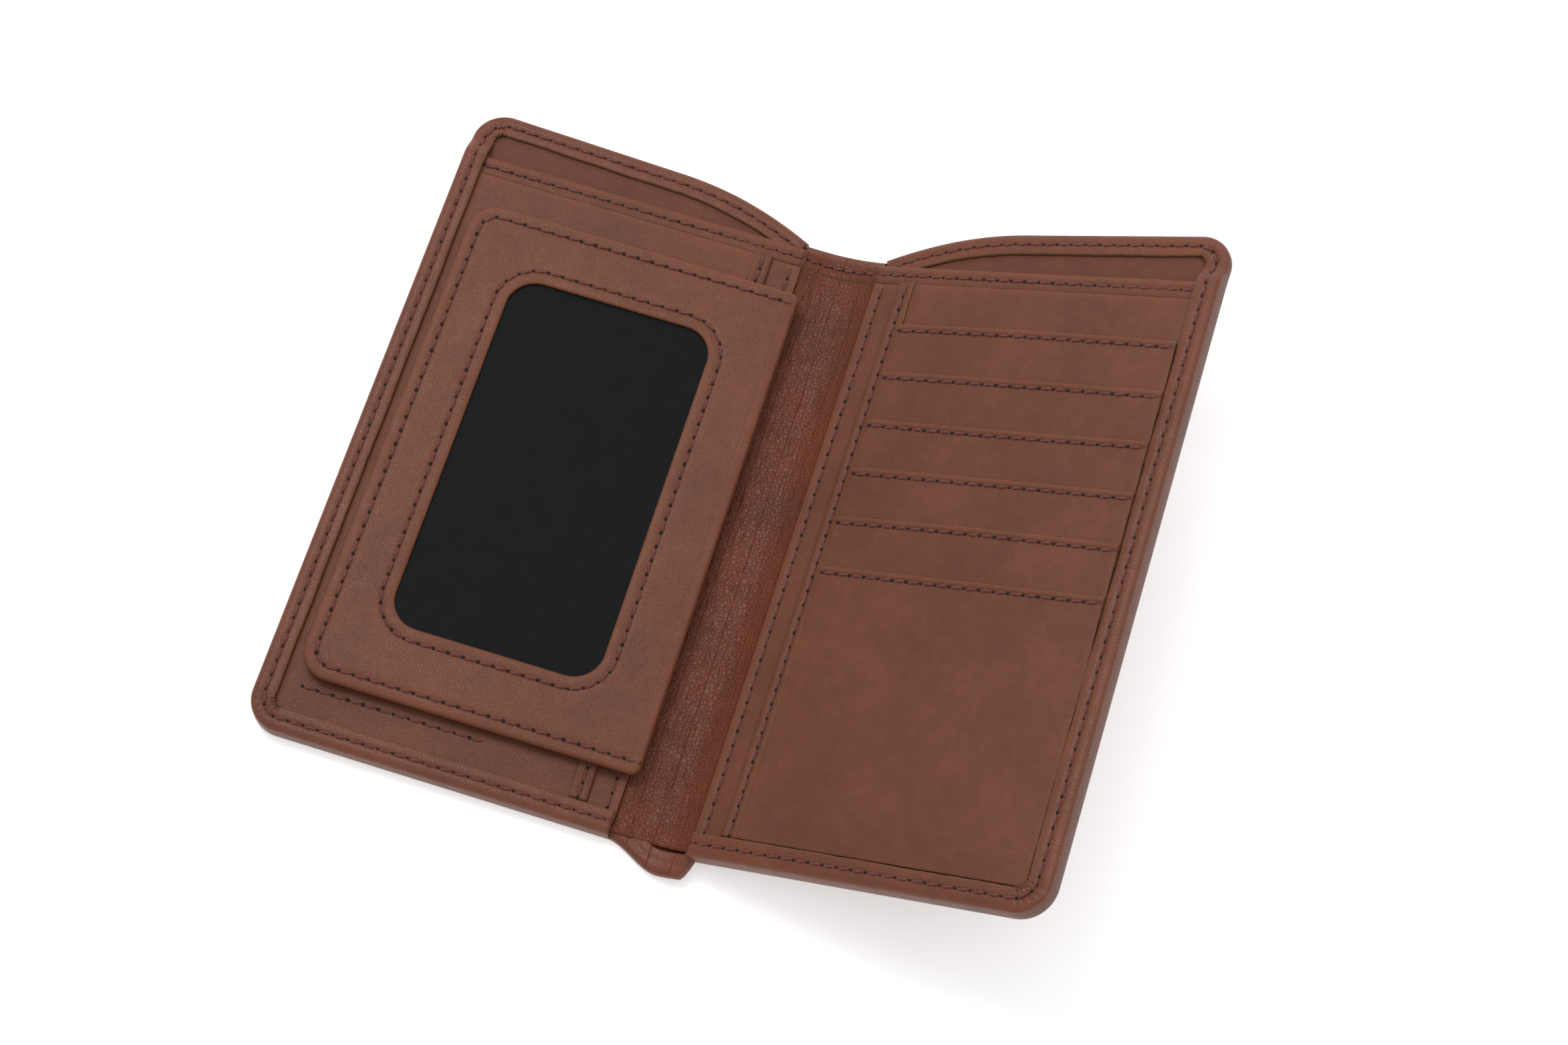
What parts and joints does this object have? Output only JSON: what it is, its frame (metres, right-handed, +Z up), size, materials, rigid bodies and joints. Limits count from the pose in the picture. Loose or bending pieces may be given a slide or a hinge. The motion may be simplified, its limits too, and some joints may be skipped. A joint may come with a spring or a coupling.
{
  "type": "bifold wallet",
  "caption": "Long leather bifold wallet with stepped card slots, side pockets, a note compartment and a hinged identity flap with a mesh window.",
  "frame": {"origin": "middle of the bounding box's underside, with the wallet lying open on its left half", "axes": "+Z up, +Y towards the wallet's top edge where the note compartment opens, +X from the left half (identity flap) to the right half (card slots)"},
  "size_m": [0.2122, 0.1916, 0.0568],
  "materials": {
    "cover_leather": "semi-gloss cognac, fine grain",
    "inner_leather": "satin cognac, fine grain",
    "flap_leather": "satin cognac with glossy specks",
    "spine_leather": "glossy, wrinkled along the fold",
    "lining_leather": "matt, smooth",
    "stiffener_board": "matt fibre board",
    "lining_fabric": "matt woven",
    "nylon_mesh": "black plain-weave mesh with a soft sheen"
  },
  "bodies": {
    "left_half": {"left_outer_cover": "cover_leather", "left_stiffener": "stiffener_board", "left_note_lining": "lining_leather", "left_inner_panel": "inner_leather", "left_rear_pocket": "inner_leather", "left_front_pocket": "inner_leather", "flap_mounting_leaf": "flap_leather"},
    "spine_strip_left": {"outer_spine_left": "cover_leather", "spine_lining_left": "lining_leather"},
    "spine_strip_middle": {"outer_spine_middle": "cover_leather", "spine_lining_middle": "lining_leather", "inner_spine_leather": "spine_leather"},
    "spine_strip_right": {"outer_spine_right": "cover_leather", "spine_lining_right": "lining_leather"},
    "right_half": {"right_outer_cover": "cover_leather", "right_stiffener": "stiffener_board", "right_note_lining": "lining_leather", "right_inner_panel": "inner_leather", "right_rear_pocket": "inner_leather", "right_front_pocket": "inner_leather", "slot_lining": "lining_fabric", "card_slot_1": "inner_leather", "card_slot_2": "inner_leather", "card_slot_3": "inner_leather", "card_slot_4": "inner_leather", "card_slot_5": "inner_leather", "lower_slot_panel": "inner_leather"},
    "id_flap": {"flap_frame": "flap_leather", "flap_mesh_window": "nylon_mesh", "flap_back_panel": "flap_leather", "flap_fold": "flap_leather"}
  },
  "joints": [
    {"name": "left_crease", "type": "hinge", "parent": "left_half", "child": "spine_strip_left", "pos_m": [-0.00446, 0, 0.0012], "axis": [0, -1, 0], "range_deg": [0, 45]},
    {"name": "left_spine_crease", "type": "hinge", "parent": "spine_strip_left", "child": "spine_strip_middle", "pos_m": [0.00244, 0, 0.0012], "axis": [0, -1, 0], "range_deg": [-9.33, 35.67], "deforming": ["inner_spine_leather"]},
    {"name": "right_spine_crease", "type": "hinge", "parent": "spine_strip_middle", "child": "spine_strip_right", "pos_m": [0.00925, 0, 0.00232], "axis": [0, -1, 0], "range_deg": [-9.33, 35.67]},
    {"name": "right_crease", "type": "hinge", "parent": "spine_strip_right", "child": "right_half", "pos_m": [0.01579, 0, 0.00453], "axis": [0, -1, 0], "range_deg": [-9.33, 35.67]},
    {"name": "flap_hinge", "type": "hinge", "parent": "left_half", "child": "id_flap", "pos_m": [-0.00431, -0.00675, 0.00835], "axis": [0, -1, 0], "range_deg": [-150, 0]}
  ]
}
